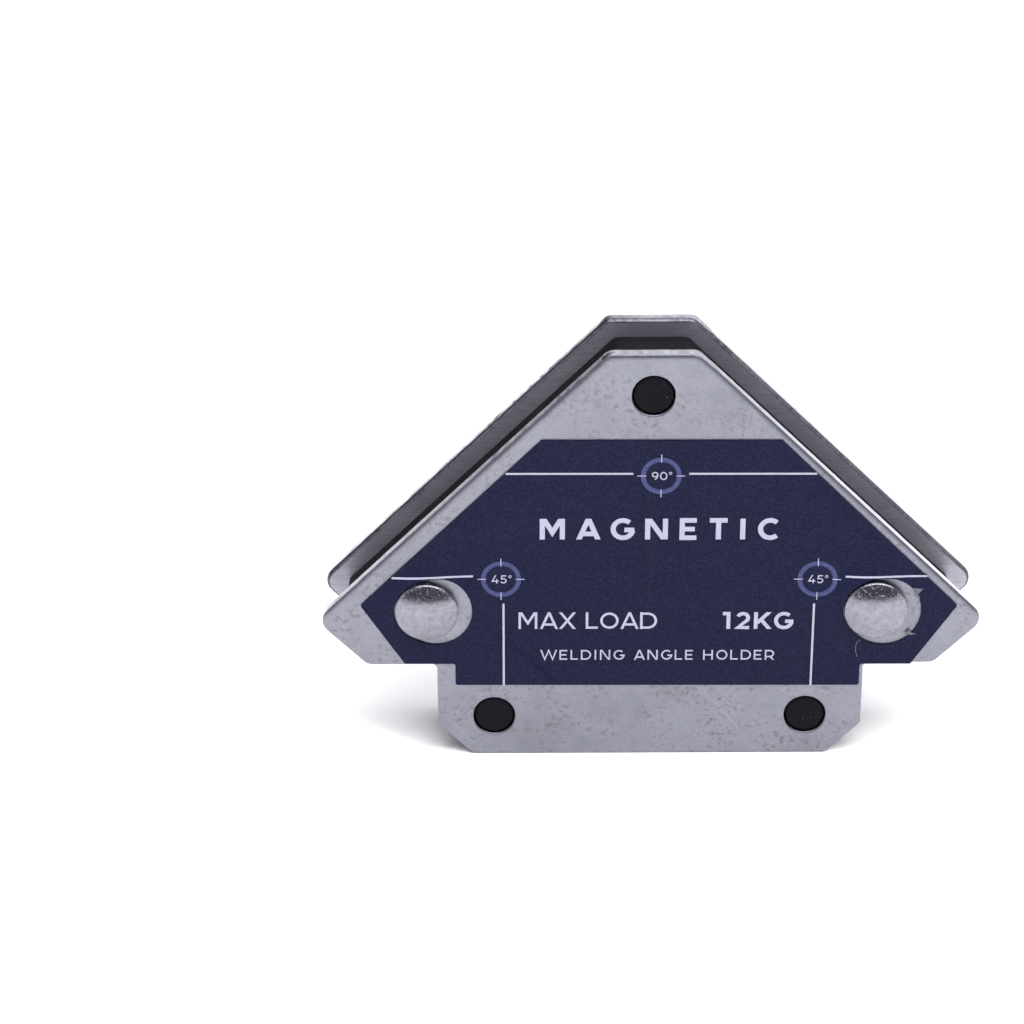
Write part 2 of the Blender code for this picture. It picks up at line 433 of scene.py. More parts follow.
def zinc_face():
    """Dull zinc plating: soft brownish stains, pits, faint scratches, rolling haze and a painted
    dark reflection where it faces up.
    """
    s = Shader("zinc_face")
    haze = s.ramp(s.noise(90, 4.0, 0.65), 0.32, 0.68)
    clouds = s.ramp(s.noise(520, 2.0, 0.5, s.mapped(move=(0.7, 0, 0.3))), 0.32, 0.68)
    grain = s.ramp(s.noise(5200, 2.0, 0.6), 0.3, 0.7)
    colour = s.mix(haze, (0.226, 0.226, 0.264), (0.278, 0.278, 0.323))
    colour = s.mix(s.math("MULTIPLY", clouds, 0.35), colour, (0.292, 0.296, 0.344))
    stain_field = s.noise(1500, 1.5, 0.5)
    stain_patch = s.ramp(s.noise(200, 2.0, 0.5, s.mapped(move=(0.2, 0, 0.1))), 0.38, 0.62)
    stains = s.math("MULTIPLY", s.ramp(stain_field, 0.50, 0.72), stain_patch)
    colour = s.mix(s.math("MULTIPLY", stains, 0.85), colour, (0.170, 0.162, 0.166))
    pits = s.ramp(s.noise(2600, 1.0, 0.5, s.mapped(move=(0.5, 0, 0.7))), 0.735, 0.77)
    colour = s.mix(s.math("MULTIPLY", pits, 0.75), colour, (0.0632, 0.0632, 0.0711))
    colour = s.mix(s.math("MULTIPLY", grain, 0.26), colour, (0.174, 0.174, 0.205))
    marks = s.math("ADD", scratches(s, 32, 70, 0.70, 90, 0.1),
                   scratches(s, -51, 60, 0.71, 80, 0.6))
    colour = s.mix(s.math("MULTIPLY", marks, 0.35), colour, (0.356, 0.356, 0.395))
    # Painted reflection: the colour darkens where the surface faces up, which lays a dark band
    # along the upper rolled edges.
    colour = s.mix(s.ramp(s.upward(), 0.03, 0.40, 0.0, 0.6), colour, (0.079, 0.079, 0.118))
    rough = s.ramp(grain, 0.0, 1.0, 0.38, 0.48)
    height = s.math("SUBTRACT", s.math("MULTIPLY", grain, 0.25),
                    s.math("ADD", pits, s.math("MULTIPLY", marks, 0.35)))
    lumps = s.bump(s.noise(420, 2.0, 0.5), 0.00002, 0.5)
    return s.finish(Base_Color=colour, Metallic=1.0, Roughness=rough,
                    Normal=s.bump(height, 0.00002, 0.6, lumps))


def zinc_inner_painted_light():
    """The plates' inner and rear faces: rolled sheet with fine horizontal strokes and painted
    light.
    """
    s = Shader("zinc_inner_painted_light")
    strokes = s.noise(260, 3.0, 0.65, s.mapped(scale=(1.0, 1.0, 26.0), turn=3))
    haze = s.ramp(s.noise(90, 3.0, 0.6), 0.3, 0.7)
    # Painted light: these base colours are lighter than zinc_face's to brighten the shaded gap
    # between the plates.
    colour = s.mix(haze, (0.333, 0.333, 0.388), (0.428, 0.428, 0.483))
    colour = s.mix(s.ramp(strokes, 0.38, 0.68, 0.0, 0.6), colour, (0.206, 0.206, 0.238))
    return s.finish(Base_Color=colour, Metallic=0.8,
                    Roughness=s.ramp(strokes, 0.3, 0.7, 0.36, 0.5),
                    Normal=s.bump(strokes, 0.00002, 0.5))


def zinc_burnish():
    """Upper part of a punched wall: smooth, bright, with streaks along the punch."""
    s = Shader("zinc_burnish")
    streaks = s.noise(900, 2.0, 0.6, s.mapped(scale=(1.0, 0.06, 1.0)))
    stains = s.ramp(s.noise(420, 2.0, 0.6), 0.5, 0.7)
    colour = s.mix(s.ramp(streaks, 0.35, 0.7), (0.56, 0.56, 0.61), (0.70, 0.70, 0.75))
    colour = s.mix(s.math("MULTIPLY", stains, 0.5), colour, (0.29, 0.28, 0.28))
    return s.finish(Base_Color=colour, Metallic=1.0,
                    Roughness=s.ramp(streaks, 0.3, 0.7, 0.16, 0.28),
                    Normal=s.bump(streaks, 0.00002, 0.4))


def zinc_break():
    """Lower part of a punched wall: torn, rough and greyer."""
    s = Shader("zinc_break")
    tears = s.noise(2600, 3.0, 0.6, s.mapped(scale=(0.660, 0.198, 0.660)))
    patches = s.ramp(s.noise(170, 2.0, 0.5), 0.35, 0.65)
    colour = s.mix(s.ramp(tears, 0.3, 0.7), (0.0660, 0.0660, 0.0858), (0.152, 0.152, 0.185))
    colour = s.mix(s.math("MULTIPLY", patches, 0.4), colour, (0.185, 0.185, 0.218))
    return s.finish(Base_Color=colour, Metallic=1.0, Roughness=0.45,
                    Normal=s.bump(tears, 0.00005, 0.8))


def rivet_metal():
    """Bright set rivet: peened mottling, dark flecks, fine grain and scratches."""
    s = Shader("rivet_metal")
    blotches = s.noise(1300, 3.0, 0.6)
    grain = s.noise(5200, 2.0, 0.6)
    marks = s.math("ADD", scratches(s, 24, 110, 0.66, 300, 0.3),
                   scratches(s, -38, 110, 0.67, 300, 0.8))
    flecks = s.ramp(s.noise(2300, 2.0, 0.6, s.mapped(move=(0.3, 0, 0.2))), 0.62, 0.72)
    dents = s.ramp(s.noise(2900, 1.0, 0.5, s.mapped(move=(0.1, 0, 0.8))), 0.66, 0.74)
    colour = s.mix(s.ramp(blotches, 0.3, 0.7), (0.222, 0.222, 0.256), (0.284, 0.284, 0.324))
    colour = s.mix(s.math("MULTIPLY", flecks, 0.4), colour, (0.096, 0.096, 0.112))
    colour = s.mix(s.math("MULTIPLY", marks, 0.3), colour, (0.400, 0.400, 0.440))
    height = s.math("SUBTRACT", s.math("ADD", blotches, s.math("MULTIPLY", grain, 0.1)),
                    s.math("ADD", s.math("MULTIPLY", dents, 1.4),
                           s.math("MULTIPLY", marks, 0.4)))
    return s.finish(Base_Color=colour, Metallic=1.0,
                    Roughness=s.ramp(grain, 0.3, 0.7, 0.18, 0.28),
                    Normal=s.bump(height, 0.000022, 0.8))


def moulded_plastic(name, colour, lighter, rough, specular, texture):
    """Black moulded plastic with a fine eroded texture and a few pale specks."""
    s = Shader(name)
    fine = s.noise(texture, 3.0, 0.6)
    specks = s.ramp(s.noise(1900, 1.0, 0.5, s.mapped(move=(0.9, 0, 0.4))), 0.76, 0.79)
    tone = s.mix(s.ramp(s.noise(150, 2.0, 0.5), 0.3, 0.7), colour, lighter)
    tone = s.mix(s.math("MULTIPLY", specks, 0.5), tone, (0.12, 0.12, 0.12))
    s.surface.inputs["Specular IOR Level"].default_value = specular
    return s.finish(Base_Color=tone, Roughness=s.ramp(fine, 0.3, 0.7, rough, rough + 0.12),
                    Normal=s.bump(fine, 0.00002, 0.5))


def ferrite():
    """Sintered ferrite: dark grey, matt, with grinding lines."""
    s = Shader("ferrite")
    lines = s.noise(300, 2.0, 0.5, s.mapped(scale=(1.0, 1.0, 20.0)))
    grain = s.noise(3500, 3.0, 0.6)
    tone = s.mix(s.ramp(grain, 0.3, 0.7), (0.035, 0.034, 0.034), (0.065, 0.062, 0.060))
    return s.finish(Base_Color=tone, Roughness=s.ramp(grain, 0.3, 0.7, 0.6, 0.75),
                    Normal=s.bump(lines, 0.00002, 0.4))


def sleeve_metal():
    """Drawn aluminium tube."""
    s = Shader("sleeve_metal")
    lines = s.noise(700, 2.0, 0.5, s.mapped(scale=(1.0, 0.05, 1.0)))
    tone = s.mix(s.ramp(lines, 0.3, 0.7), (0.52, 0.52, 0.54), (0.66, 0.66, 0.68))
    return s.finish(Base_Color=tone, Metallic=1.0, Roughness=0.35,
                    Normal=s.bump(lines, 0.00001, 0.4))


def film_ink(name, dark, light, rough, specular, grain_share):
    """Printed film: an even ink with the fine grain of the print screen."""
    s = Shader(name)
    grain = s.noise(4200, 2.0, 0.7)
    screen = s.cells(2600)
    tone = s.mix(s.ramp(grain, 0.32, 0.68), dark, light)
    tone = s.mix(s.math("MULTIPLY", s.ramp(screen, 0.1, 0.6), grain_share), tone, dark)
    haze = s.noise(130, 2.0, 0.5)
    s.surface.inputs["Specular IOR Level"].default_value = specular
    return s.finish(Base_Color=tone, Roughness=s.ramp(haze, 0.3, 0.7, rough, rough + 0.08),
                    Normal=s.bump(grain, 0.00001, 0.25))


# ================================================================ plates

def nick(point, rough_wall):
    """Depth of small knocks here and there along a plate's front edge."""
    knock = noise.noise(Vector((point.x * 420, 3.7, point.y * 420)))
    return max(0.0, knock - 0.42) * 0.5 * MM * rough_wall


def plate_layers(front_y, thick, wide, deep, rough_wall, roll_finish):
    """Wall of a punched plate: rolled edge, burnished band, torn band, rear corner."""
    layers = []
    for k in range(ROLL_TURNS + 1):
        angle = math.pi / 2 * k / ROLL_TURNS
        inwards = wide * (1 - math.sin(angle))
        y = front_y + deep * (1 - math.cos(angle))
        layers.append(lambda _, point, y=y, inwards=inwards, share=k / ROLL_TURNS:
                      (y, inwards + share * nick(point, rough_wall)))

    def burnish_end(k, point):
        wave = noise.noise(Vector((point.x * 900, front_y * 3000, point.y * 900)))
        return (front_y + thick * (BURNISH_SHARE + 0.07 * wave * rough_wall),
                0.5 * nick(point, rough_wall))

    def torn(share):
        def layer(k, point):
            wave = noise.noise(Vector((point.x * 2500, share * 9 + front_y * 900,
                                       point.y * 2500)))
            y = front_y + thick * (BURNISH_SHARE + (1 - BURNISH_SHARE) * share)
            return y, BREAK_TAPER * (share + 0.6 * abs(wave) * rough_wall)
        return layer

    layers += [burnish_end, torn(0.33), torn(0.66), torn(0.97)]
    layers.append(lambda _, __: (front_y + thick, BREAK_TAPER + 0.05 * MM))
    return layers, [roll_finish] * ROLL_TURNS + [BURNISH_FINISH] + [BREAK_FINISH] * 4


def add_plate(name, cad_node, finishes, roll, roll_finish):
    """One plate, with rolled front edges and torn rear edges, round the CAD outline."""
    low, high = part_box(cad_node)
    loops = section(cad_node, levels(cad_node)[2])
    bm = bmesh.new()
    front_edges = []
    rear_edges = []
    for number, loop in enumerate(loops):
        outline = finely(loop, EDGE_STEP) if number == 0 else loop
        wide, deep = roll if number == 0 else (HOLE_ROLL_WIDE, HOLE_ROLL_DEEP)
        layers, tags = plate_layers(low.y, high.y - low.y, wide, deep, number == 0,
                                    roll_finish)
        rings = wall(bm, outline, layers, tags)
        front_edges += ring_edges(bm, rings[0])
        rear_edges += ring_edges(bm, rings[-1])
    fill(bm, front_edges, FACE_FINISH)
    fill(bm, rear_edges, REAR_FINISH)
    piece = add_piece(name, bm, finishes, (cad_node,))
    keep_faces_flat(piece)
    return piece


def add_plates():
    """Both plates. The front one is rolled bright, the rear one dull."""
    face, inner, burnish, torn = zinc_face(), zinc_inner_painted_light(), zinc_burnish(), zinc_break()
    add_plate("plate_front", "front_plate", [face, inner, burnish, torn],
              (ROLL_WIDE, ROLL_DEEP), FACE_FINISH)
    add_plate("plate_rear", "rear_plate", [inner, face, burnish, torn],
              (REAR_ROLL_WIDE, REAR_ROLL_DEEP), BREAK_FINISH)


# ================================================================ core, pins, rivets

def add_core():
    """Moulded core: side walls with draft each way from a parting line."""
    low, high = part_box("core_frame")
    loops = section("core_frame", levels("core_frame")[1])
    bm = bmesh.new()
    front_edges = []
    rear_edges = []
    for number, loop in enumerate(loops):
        steps = [(low.y, 0.15 * MM + DRAFT), (low.y + 0.06 * MM, 0.05 * MM + DRAFT),
                 (low.y + 0.15 * MM, DRAFT)]
        if number == 0:
            steps += [(-HALF_FLASH, 0.02 * MM), (0.0, 0.02 * MM - FLASH),
                      (HALF_FLASH, 0.02 * MM)]
        steps += [(high.y - 0.15 * MM, DRAFT), (high.y - 0.06 * MM, 0.05 * MM + DRAFT),
                  (high.y, 0.15 * MM + DRAFT)]
        if number:
            steps = [(low.y, 0.1 * MM), (low.y + 0.1 * MM, 0.0), (high.y - 0.1 * MM, 0.0),
                     (high.y, 0.1 * MM)]
        layers = [lambda _, __, s=s: s for s in steps]
        rings = wall(bm, loop, layers, [0] * (len(layers) - 1))
        front_edges += ring_edges(bm, rings[0])
        rear_edges += ring_edges(bm, rings[-1])
    fill(bm, front_edges)
    fill(bm, rear_edges)
    finish = moulded_plastic("core_black", (0.0030, 0.0030, 0.0045), (0.0053, 0.0053, 0.0071),
                             0.5, 0.085, 1400)
    keep_faces_flat(add_piece("core", bm, [finish], ("core_frame",)))


def add_pins():
    """Locating pins: flat ends with a turned chamfer and a faint gate ring."""
    finish = moulded_plastic("pin_black", (0.0047, 0.0047, 0.0072), (0.0064, 0.0064, 0.0093),
                             0.34, 0.055, 1800)
    for name in ("pin_top", "pin_left", "pin_right"):
        low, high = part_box(name)
        radius = (high.x - low.x) / 2
        end = [(0.0, 0.02), (0.9, 0.02), (1.0, 0.05), (1.1, 0.02), (radius / MM - 0.42, 0.0),
               (radius / MM - 0.25, 0.02), (radius / MM - 0.08, 0.13), (radius / MM, 0.32)]
        front = [(r * MM, low.y + dip * MM) for r, dip in end]
        back = [(r * MM, high.y - dip * MM) for r, dip in end]
        bm = bmesh.new()
        turned(bm, centre(name), front + back[::-1], PIN_STEPS)
        add_piece(name + "_round", bm, [finish], (name,), 40)


def rivet_profile(name):
    """Half of a rivet: dimpled dome, two fine rounded steps, grooved rim, foot, shank."""
    low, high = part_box(name)
    radius = (high.x - low.x) / 2
    under_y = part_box("rear_plate")[1].y + 0.06 * MM
    rim_y = section_top(name, radius)
    rise = high.y - rim_y
    ball = (radius ** 2 + rise ** 2) / (2 * rise)
    edge_angle = math.asin((radius - 2 * RIM_STEP) / ball)
    dome = []
    for k in range(DOME_STEPS + 1):
        angle = edge_angle * k / DOME_STEPS
        out = ball * math.sin(angle)
        dimple = DIMPLE_DEEP * math.exp(-(out / DIMPLE_WIDE) ** 2)
        dome.append((out, high.y - ball * (1 - math.cos(angle)) - dimple))
    rim = []
    for step in (1, 2):
        start_out, start_y = (dome + rim)[-1]
        for k in range(1, RIM_STEPS + 1):
            angle = edge_angle + (math.radians(RIM_STEP_TURN) - edge_angle) * k / RIM_STEPS
            share = (math.sin(angle) - math.sin(edge_angle)) / (1 - math.sin(edge_angle))
            rim.append((start_out + (radius - (2 - step) * RIM_STEP - start_out) * share,
                        start_y - RIM_STEP * (math.cos(edge_angle) - math.cos(angle))))
    groove_y = under_y + GROOVE_SHARE * (rim_y - under_y)
    groove = [(rim[-1][0], groove_y + GROOVE_HALF), (rim[-1][0] - GROOVE_DEEP, groove_y),
              (radius, groove_y - GROOVE_HALF)]
    foot = [(radius, under_y + FOOT_CORNER), (radius - FOOT_CORNER, under_y)]
    shank = (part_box("sleeve_left")[1].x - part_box("sleeve_left")[0].x) / 3
    return dome + rim + groove + foot + [(shank, under_y)]


def section_top(node, radius):
    """Y of the last ring of a turned CAD node that has its full radius."""
    middle = centre(node)
    return max(v.co.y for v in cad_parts[node].data.vertices
               if math.hypot(v.co.x - middle.x, v.co.z - middle.z) > 0.999 * radius)


def add_rivets():
    finish = rivet_metal()
    for name in ("rivet_left", "rivet_right"):
        half = rivet_profile(name)
        profile = [(radius, -y) for radius, y in half] + half[::-1]
        bm = bmesh.new()
        turned(bm, centre(name), profile, HEAD_STEPS, wobble=HEAD_WOBBLE)
        add_piece(name + "_set", bm, [finish], (name,), 50)


def finish_hidden_nodes():
    """Materials of the CAD nodes that stay as they are, inside the core."""
    inner = {"magnet": ferrite(), "sleeve": sleeve_metal()}
    for name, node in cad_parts.items():
        for start, finish in inner.items():
            if name.startswith(start):
                node.data.materials.clear()
                node.data.materials.append(finish)


# ================================================================ label film

def film_rise(point):
    """How far the film stands off the plate where it rides up against a rivet head."""
    rise = 0.0
    for middle in RIVET_PLACES:
        away = point - middle
        beyond = max(0.0, away.length - HEAD_RADIUS)
        if beyond < 4 * FILM_LIFT_REACH:
            heading = math.atan2(away.y, away.x)
            facing = 0.5 + 0.5 * math.cos(heading - FILM_LIFT_HEADING)
            rise += FILM_LIFT * facing ** 1.5 * math.exp(-(beyond / FILM_LIFT_REACH) ** 2)
    return rise


def film_front(point):
    return LABEL_FRONT - film_rise(point)


def shrunk_back(point):
    """The film's edge has crept away from each rivet head at the upper right."""
    middle = min(RIVET_PLACES, key=lambda place: (place - point).length)
    away = (point - middle).normalized()
    return point + away * FILM_CREEP * max(0.0, away.dot(FILM_CREEP_WAY)) ** 3


def add_label():
    """Die-cut film with a fine mesh where it rides up at the rivets."""
    low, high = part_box("label")
    loops = [finely(loop, 0.8 * MM) for loop in section("label", low.y)]
    loops = loops[:1] + [[shrunk_back(p) for p in hole] for hole in loops[1:]]
    extra = []
    for middle in RIVET_PLACES:
        count = round(FILM_MESH_REACH / FILM_MESH_STEP)
        for i in range(-count, count + 1):
            for j in range(-count, count + 1):
                point = middle + Vector((i, j)) * FILM_MESH_STEP
                near = min((point - p).length for loop in loops for p in loop)
                if near > 0.3 * FILM_MESH_STEP and inside(point, loops[0]):
                    extra.append(point)
    corners, triangles = triangulated(
        loops, extra, lambda p: inside(p, loops[0]) and not any(inside(p, h) for h in loops[1:]))
    bm = bmesh.new()
    thick = high.y - low.y
    sheet(bm, corners, triangles, film_front, lambda p: film_front(p) + thick)
    ink = film_ink("navy_film", (0.0036, 0.0044, 0.0232), (0.0136, 0.0150, 0.0470),
                   0.42, 0.10, 0.35)
    add_piece("label_film", bm, [ink], ("label",), 60)


# ================================================================ print

# Each letter is a list of strokes in units of its height: a stroke is a list of points,
# and an arc is written as ("arc", centre x, centre y, radius x, radius y, from, to).
STROKE = 0.16
LETTERS = {
    "A": (0.96, [[(0.07, 0), (0.48, 1)], [(0.48, 1), (0.89, 0)], [(0.2, 0.27), (0.76, 0.27)]]),
    "C": (0.92, [[("arc", 0.5, 0.5, 0.42, 0.42, 48, 312)]]),
    "D": (0.93, [[(0.08, 0), (0.08, 1)],
                 [(0.08, 0.92), ("arc", 0.42, 0.5, 0.42, 0.42, 90, -90), (0.08, 0.08)]]),
    "E": (0.76, [[(0.7, 0.92), (0.08, 0.92), (0.08, 0.08), (0.7, 0.08)],
                 [(0.08, 0.5), (0.62, 0.5)]]),
    "G": (0.98, [[("arc", 0.5, 0.5, 0.42, 0.42, 48, 350)], [(0.99, 0.46), (0.56, 0.46)]]),
    "H": (0.94, [[(0.08, 0), (0.08, 1)], [(0.8, 0), (0.8, 1)], [(0.08, 0.5), (0.8, 0.5)]]),
    "I": (0.32, [[(0.14, 0), (0.14, 1)]]),
    "K": (0.86, [[(0.08, 0), (0.08, 1)], [(0.76, 1), (0.16, 0.36)], [(0.36, 0.56), (0.8, 0)]]),
    "L": (0.7, [[(0.08, 1), (0.08, 0.08), (0.66, 0.08)]]),
    "M": (1.08, [[(0.08, 0), (0.08, 1)], [(0.13, 1), (0.51, 0.34), (0.89, 1)],
                 [(0.94, 0), (0.94, 1)]]),
    "N": (0.98, [[(0.08, 0), (0.08, 1)], [(0.13, 1), (0.79, 0)], [(0.84, 0), (0.84, 1)]]),
    "O": (1.02, [[("arc", 0.5, 0.5, 0.42, 0.42, 0, 360)]]),
    "R": (0.88, [[(0.08, 0), (0.08, 1)],
                 [(0.08, 0.92), ("arc", 0.45, 0.62, 0.3, 0.3, 90, -90), (0.08, 0.32)],
                 [(0.46, 0.36), (0.76, 0)]]),
    "T": (0.78, [[(0.0, 0.92), (0.76, 0.92)], [(0.38, 0), (0.38, 0.92)]]),
    "W": (1.42, [[(0.03, 1), (0.36, 0.04), (0.7, 0.96), (1.04, 0.04), (1.37, 1)]]),
    "X": (0.86, [[(0.06, 0), (0.8, 1)], [(0.06, 1), (0.8, 0)]]),
    "0": (0.84, [[("arc", 0.4, 0.5, 0.33, 0.42, 0, 360)]]),
    "1": (0.5, [[(0.0, 0.92), (0.3, 0.92), (0.3, 0)]]),
    "2": (0.76, [[("arc", 0.36, 0.66, 0.27, 0.26, 160, -35), (0.1, 0.08), (0.7, 0.08)]]),
    "4": (0.86, [[(0.48, 1), (0.1, 0.27), (0.8, 0.27)], [(0.58, 0), (0.58, 0.52)]]),
    "5": (0.76, [[(0.64, 0.92), (0.17, 0.92), (0.13, 0.54),
                  ("arc", 0.33, 0.32, 0.3, 0.25, 95, -150)]]),
    "9": (0.78, [[("arc", 0.38, 0.66, 0.28, 0.26, 0, 360)],
                 [("arc", 0.26, 0.62, 0.4, 0.54, 5, -78)]]),
    "o": (0.42, [[("arc", 0.18, 0.82, 0.13, 0.13, 0, 360)]]),
    " ": (0.4, []),
}


def spelled_out(stroke):
    """A stroke's points, with its arcs worked out, and whether it closes on itself."""
    points = []
    closed = False
    for item in stroke:
        if item[0] != "arc":
            points.append(Vector(item))
            continue
        _, x, z, radius_x, radius_z, start, end = item
        closed = abs(end - start) == 360
        steps = max(6, round(abs(end - start) / 11.25))
        for k in range(steps + (0 if closed else 1)):
            angle = math.radians(start + (end - start) * k / steps)
            points.append(Vector((x + radius_x * math.cos(angle),
                                  z + radius_z * math.sin(angle))))
    return points, closed


def thick_line(points, closed, width):
    """Outline polygons of a line of some width: one, or two for a closed ring."""
    half = width / 2
    if closed:
        steps = [mitre(points[k - 1], points[k], points[(k + 1) % len(points)])
                 for k in range(len(points))]
        return [[p + s * half for p, s in zip(points, steps)],
                [p - s * half for p, s in zip(points, steps)]]
    sides = []
    for k, point in enumerate(points):
        if 0 < k < len(points) - 1:
            step = mitre(points[k - 1], point, points[k + 1])
            sides.append(step * min(half, half * 2.2 / max(step.length, 1e-9)))
            continue
        along = (points[1] - points[0] if k == 0 else points[-1] - points[-2]).normalized()
        on_line = abs(point.y) < 1e-6 or abs(point.y - 1) < 1e-6
        if on_line and abs(along.y) > 0.4:
            sides.append(Vector((-half / along.y, 0.0)))
        else:
            sides.append(Vector((-along.y, along.x)) * half)
    return [[p + s for p, s in zip(points, sides)]
            + [p - s for p, s in zip(points, sides)][::-1]]


def word(text, height, weight=1.0, gap=0.1):
    """Polygon groups of a word from its lower left corner, and the word's width."""
    groups = []
    at = 0.0
    for letter in text:
        wide, strokes = LETTERS[letter]
        for stroke in strokes:
            points, closed = spelled_out(stroke)
            thin = 0.6 if letter == "o" else 1.0
            loops = thick_line(points, closed, STROKE * weight * thin)
            groups.append([[Vector(((p.x + at) * height, p.y * height)) for p in loop]
                           for loop in loops])
        at += wide + gap
    return groups, (at - gap) * height


def moved(groups, x, z):
    return [[[p + Vector((x, z)) for p in loop] for loop in group] for group in groups]


def bar(x0, z0, x1, z1, width):
    """One straight printed line as a polygon group, cut finely along its length."""
    one, two = Vector((x0, z0)), Vector((x1, z1))
    parts = max(1, round((two - one).length / (0.5 * MM)))
    points = [one.lerp(two, k / parts) for k in range(parts + 1)]
    return [thick_line(points, False, width)]


def rounded_ring(x, z, inner, outer, steps=96):
    ring = [Vector((math.cos(math.tau * k / steps), math.sin(math.tau * k / steps)))
            for k in range(steps)]
    return [[[Vector((x, z)) + p * outer for p in ring],
             [Vector((x, z)) + p * inner for p in ring]]]


def add_print(name, groups, finish, lift):
    """Thin closed solids of ink over the film, united where strokes overlap."""
    bm = bmesh.new()
    loops = [loop for group in groups for loop in group]
    boxes = [(min(p.x for p in g[0]), max(p.x for p in g[0]),
              min(p.y for p in g[0]), max(p.y for p in g[0])) for g in groups]

    def inked(p):
        for group, (x0, x1, z0, z1) in zip(groups, boxes):
            margin = 0.5 * MM
            if x0 - margin < p.x < x1 + margin and z0 - margin < p.y < z1 + margin:
                if sum(inside(p, loop) for loop in group) == 1:
                    return True
        return False

    corners, triangles = triangulated(loops, [], inked)
    sheet(bm, corners, triangles, lambda p: film_front(p) - lift - PRINT_THICK,
          lambda p: film_front(p) - lift)
    return add_piece(name, bm, [finish], (), 60)


def as_stuck(groups):
    """Move printed shapes from the label as drawn to the label as stuck on the plate."""
    return [[[label_place(p) for p in loop] for loop in group] for group in groups]


def label_place(point):
    return LABEL_ORIGIN + Matrix.Rotation(LABEL_TURN, 2) @ point


def read_label_place():
    """Middle and turn of the label, from the ends of its outline's top edge."""
    loop = section("label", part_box("label")[0].y)[0]
    top = max(p.y for p in loop)
    ends = [p for p in loop if p.y > top - 0.5 * MM]
    left, right = min(ends, key=lambda p: p.x), max(ends, key=lambda p: p.x)
    turn = math.atan2(right.y - left.y, right.x - left.x)
    return (left + right) / 2, turn


def half_length(z):
    """Half the label's width at a height below its top edge."""
    return 14.8 * MM - z


def graphics():
    """Printed shapes by ink, measured from the middle of the label's top edge."""
    white = []
    blue = []
    dark = []
    dials = [(0.0, -4.75 * MM, "90o"), (-19.85 * MM, -19.25 * MM, "45o"),
             (19.85 * MM, -19.25 * MM, "45o")]
    for x, z, text in dials:
        groups, wide = word(text, 1.16 * MM, 0.8, 0.11)
        white += moved(groups, x - wide / 2 + 0.1 * MM, z - 0.58 * MM)
        dark += rounded_ring(x, z, 1.9 * MM, 2.5 * MM)
        for tick in range(DIAL_TICKS):
            angle = math.tau * (tick + 0.5) / DIAL_TICKS
            way = Vector((math.cos(angle), math.sin(angle)))
            start = Vector((x, z)) + way * (1.96 if tick % 2 else 2.1) * MM
            end = Vector((x, z)) + way * 2.53 * MM
            blue.append(thick_line([start, end], False, 0.09 * MM))
        for quarter in range(4):
            angle = math.pi / 2 * quarter
            way = Vector((math.cos(angle), math.sin(angle)))
            start, end = Vector((x, z)) + way * 1.85 * MM, Vector((x, z)) + way * 2.95 * MM
            white += bar(start.x, start.y, end.x, end.y, 0.1 * MM)
    top_line = -4.45 * MM
    low_line = -18.82 * MM
    upright = 19.55 * MM
    for side in (-1, 1):
        far = side * (half_length(top_line) - 0.05 * MM)
        white += bar(side * 3.45 * MM, top_line, far, top_line, LINE_WIDE)
        far = side * (half_length(low_line) - 0.05 * MM)
        sag = 0.2 * MM if side < 0 else 0.0
        white += bar(side * 23.35 * MM, low_line, far, low_line - sag, LINE_WIDE)
        white += bar(side * upright, -22.75 * MM, side * upright, -34.65 * MM, LINE_WIDE)
    groups, wide = word("MAGNETIC", 2.9 * MM, 1.38, 0.5)
    white += moved(groups, -wide / 2, -13.6 * MM)
    groups, wide = word("MAX LOAD", 2.4 * MM, 0.82, 0.06)
    white += moved(groups, -17.7 * MM, -26.4 * MM)
    groups, wide = word("12KG", 2.4 * MM, 1.25, 0.2)
    white += moved(groups, 17.0 * MM - wide, -26.4 * MM)
    groups, wide = word("WELDING ANGLE HOLDER", 1.45 * MM, 0.85, 0.21)
    white += moved(groups, -wide / 2, -30.9 * MM)
    return white, blue, dark


def add_torn_film():
    """Silver flakes where the film tore at the right rivet, and a pale crease below it."""
    flakes = []
    rivet = RIVET_PLACES[1]
    for corners in (((4.55, 2.9), (5.9, 2.75), (5.25, 2.05), (5.55, 1.3), (4.85, 1.75)),
                    ((4.3, -3.0), (4.65, -3.55), (5.35, -3.75), (4.6, -3.85), (3.7, -3.7))):
        flakes.append([[rivet + Vector(c) * MM for c in corners][::-1]])
    crease = [Vector((-1.7, -4.5)), Vector((-2.15, -4.85)), Vector((-2.3, -5.5)),
              Vector((-2.25, -6.3)), Vector((-2.05, -7.0))]
    pale = thick_line([rivet + c * MM for c in crease], False, 0.07 * MM)
    add_print("film_flakes", flakes, film_ink("bare_film", (0.06, 0.06, 0.08),
                                              (0.22, 0.22, 0.26), 0.3, 0.4, 0.5), PRINT_LIFT)
    add_print("film_crease", [[pale[0]]], film_ink("pale_crease", (0.09, 0.09, 0.14),
                                                   (0.20, 0.20, 0.27), 0.4, 0.2, 0.3),
              PRINT_LIFT)


# ================================================================ stage, lights, camera

def add_floor():
    mesh = bpy.data.meshes.new("floor")
    bm = bmesh.new()
    bmesh.ops.create_grid(bm, x_segments=2, y_segments=2, size=6.0)
    bm.to_mesh(mesh)
    bm.free()
    s = Shader("floor_white")
    tone = s.mix(s.noise(8, 2.0, 0.5), (0.86, 0.86, 0.865), (0.88, 0.88, 0.885))
    s.surface.inputs["Specular IOR Level"].default_value = 0.1
    mesh.materials.append(s.finish(Base_Color=tone, Roughness=0.9))
    floor = bpy.data.objects.new("floor", mesh)
    bpy.context.scene.collection.objects.link(floor)


